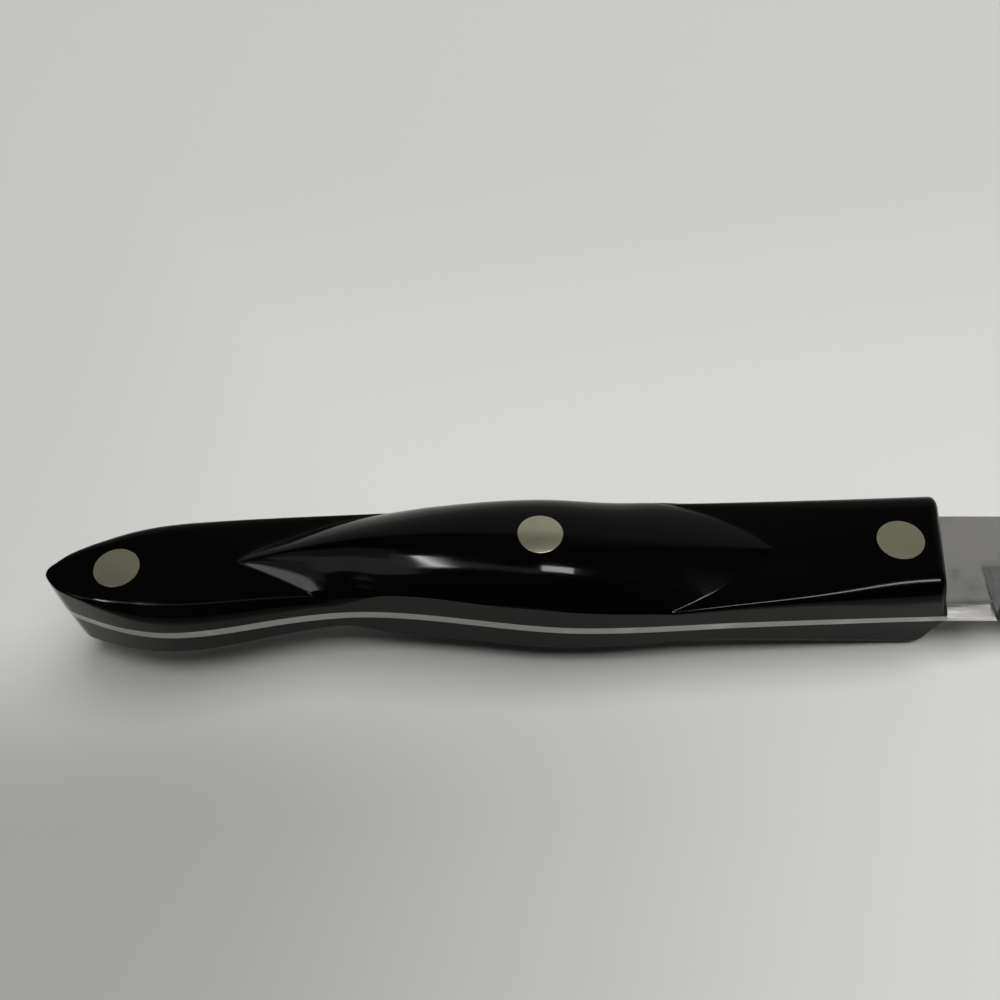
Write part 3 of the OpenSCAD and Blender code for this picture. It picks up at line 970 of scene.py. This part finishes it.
shader.inputs["Metallic"].default_value = 1.0
line_depth = 0.0004
relief(tree, shader, math_node(tree, "MULTIPLY", lines, remap(tree, marked, 0, 1, 0.2, 1.0)), -line_depth)
print(satin.name, "has", len(tree.nodes), "nodes")

# %% Nickel silver
nickel, tree, shader = new_finish("ground_nickel_silver")
smudges = effect(tree, clouds, Stretch=(0.6, 1, 1), Scale=260, From=0.35, To=0.75)
swirls = effect(tree, scratches, Stretch=(0.3, 1, 1), Scale=900, Width=0.03)
warm_grey, smudged_grey = (0.53, 0.52, 0.37, 1), (0.46, 0.45, 0.315, 1)
tree.links.new(mix_colours(tree, smudges, warm_grey, smudged_grey), shader.inputs["Base Color"])
tree.links.new(math_node(tree, "ADD", remap(tree, smudges, 0, 1, 0.28, 0.32),
                         math_node(tree, "MULTIPLY", swirls, 0.02)), shader.inputs["Roughness"])
shader.inputs["Metallic"].default_value = 1.0
print(nickel.name, "has", len(tree.nodes), "nodes")

# %% [markdown]
# ## Each piece takes its finish and its node's place
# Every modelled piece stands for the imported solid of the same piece, so the solid is hidden. Nothing on a
# knife moves, so all pieces ride on the one body.

# %% Hand the pieces over
handed = {"blade": (steel, satin, "steel"), "right_scale": (right_scale, resin, "resin"),
          "left_scale": (left_scale, resin, "resin")}
for node_name, half in rivet_halves.items():
    handed[node_name] = (half, nickel, "nickel_silver")
for node_name, (piece, finish, slot) in handed.items():
    piece.data.materials.clear()
    piece.data.materials.append(finish)
    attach(piece, "root")
    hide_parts(node_name)
print(len(handed), "pieces ride on the root body")

# %% [markdown]
# ## Table and light
# The knife rests on its hump and on the lower front end of the handle, so the butt stands off the table.
# The frame stays square to the steel, and the table is tilted to touch those two places instead. Shade is
# painted into its colour: palest around the knife, a little darker to the left and at the back, darkest at
# the near left.
# A polished black handle shows little but what it mirrors, so the light is built in two parts. One large
# soft lamp, called daylight, lights the table and throws the shadow, and it is kept out of reflections.
# The smaller lamps are the room: the ceiling lights, a window with its curtain, and grey walls. They are
# kept out of the diffuse light, so each one can be placed and dimmed by the highlight that it draws on the
# hump. The world is a dim room that opens towards the back.

# %% Table that touches the knife
rest_slope = 0.0475
table_size = 4.0
corners = np.concatenate([np.array([v.co for v in piece.data.vertices]) for piece in (left_scale, steel)])
rest_height = float(np.min(corners[:, 2] - rest_slope * corners[:, 0]))
bpy.ops.object.select_all(action="DESELECT")
bpy.ops.mesh.primitive_plane_add(size=table_size, location=(0, 0, rest_height),
                                 rotation=(0, -math.atan(rest_slope), 0))
table = bpy.context.object
table.name = "table"
print("table touches the knife", round(rest_height / MM, 3), "mm above the frame's origin")

# %% Pale laminate of the table, with painted shade
laminate, tree, shader = new_finish("pale_laminate_painted_shade")
place = split_place(tree, "Object")
# Painted shade: the colour darkens towards the near left, and a little towards the left and the back.
painted_shade_near_left = math_node(tree, "MULTIPLY", remap(tree, place["Y"], 0.015, -0.035, 0.0, 1.0),
                      remap(tree, place["X"], 0.04, -0.12, 0.0, 1.0))
outer_shade = 0.25
painted_shade_left_and_back = math_node(tree, "MAXIMUM", remap(tree, place["X"], -0.08, -0.15, 0.0, outer_shade),
                    remap(tree, place["Y"], 0.02, 0.12, 0.0, outer_shade))
shaded = math_node(tree, "MAXIMUM", painted_shade_near_left, painted_shade_left_and_back)
pale, shade = (0.7, 0.71, 0.675, 1), (0.37, 0.374, 0.355, 1)
tree.links.new(mix_colours(tree, shaded, pale, shade), shader.inputs["Base Color"])
shader.inputs["Roughness"].default_value = 0.55
table.data.materials.append(laminate)
print(laminate.name, "has", len(tree.nodes), "nodes")

# %% Light
lamps_over = (-60, 6, 0)
handle_middle = Vector(in_frame(lamps_over))


def ceiling_lamp(name, height, across, onward, brightness, turn=0.0):
    """Level area light that covers a range of angles, in degrees from straight above the handle."""
    left, right = (height * math.tan(math.radians(a)) for a in across)
    close, far = (height * math.tan(math.radians(a)) for a in onward)
    place = handle_middle + Vector(((left + right) / 2, (close + far) / 2, height))
    bpy.ops.object.light_add(type="AREA", location=place, rotation=(0, 0, math.radians(turn)))
    lamp = bpy.context.object
    lamp.name = name
    lamp.data.shape = "RECTANGLE"
    lamp.data.size, lamp.data.size_y = right - left, far - close
    lamp.data.energy = brightness * math.pi * lamp.data.size * lamp.data.size_y
    lamp.visible_diffuse = name == "daylight"
    return lamp


ceiling_lamp("light_strip", 3.0, (-19, 2.5), (-16, -9), 1.0)
ceiling_lamp("left_lamp", 2.95, (-19.2, -16), (-18, -4), 12.0)
ceiling_lamp("left_tube", 2.9, (-18.6, -17.4), (-17, -3.5), 75.0, 5.0)
ceiling_lamp("right_lamp", 2.88, (2.5, 19.8), (-11.5, -4.5), 34.0)
ceiling_lamp("window", 2.85, (-43, -37), (-40, -31), 9.0)
ceiling_lamp("curtain", 2.8, (-37.5, -32), (-32, -20), 0.9)
ceiling_lamp("grey_wall", 2.75, (-32, -20.5), (-25, -9), 1.6)
ceiling_lamp("far_wall", 2.72, (-32, -20.5), (-9.5, 4), 0.5)
daylight = ceiling_lamp("daylight", 2.7, (-8, 35), (-20, 28), 4.95)
daylight.visible_glossy = False

# %% Room around
world = bpy.data.worlds.new("dim_room")
bpy.context.scene.world = world
world.use_nodes = True
tree = world.node_tree
direction = split_place(tree, "Generated")
away = remap(tree, direction["Y"], 0.48, 0.64, 0.0, 1.0)
aside = math_node(tree, "MULTIPLY", remap(tree, direction["X"], 0.1, 0.4, 0.0, 0.7),
                  remap(tree, direction["Y"], 0.3, 0.5, 0.0, 1.0))
open_side = math_node(tree, "MAXIMUM", away, aside)
background = tree.nodes["Background"]
dim, open_air = (0.04, 0.04, 0.041, 1), (0.42, 0.42, 0.42, 1)
tree.links.new(mix_colours(tree, open_side, dim, open_air), background.inputs["Color"])
print(world.name, "has", len(tree.nodes), "nodes")
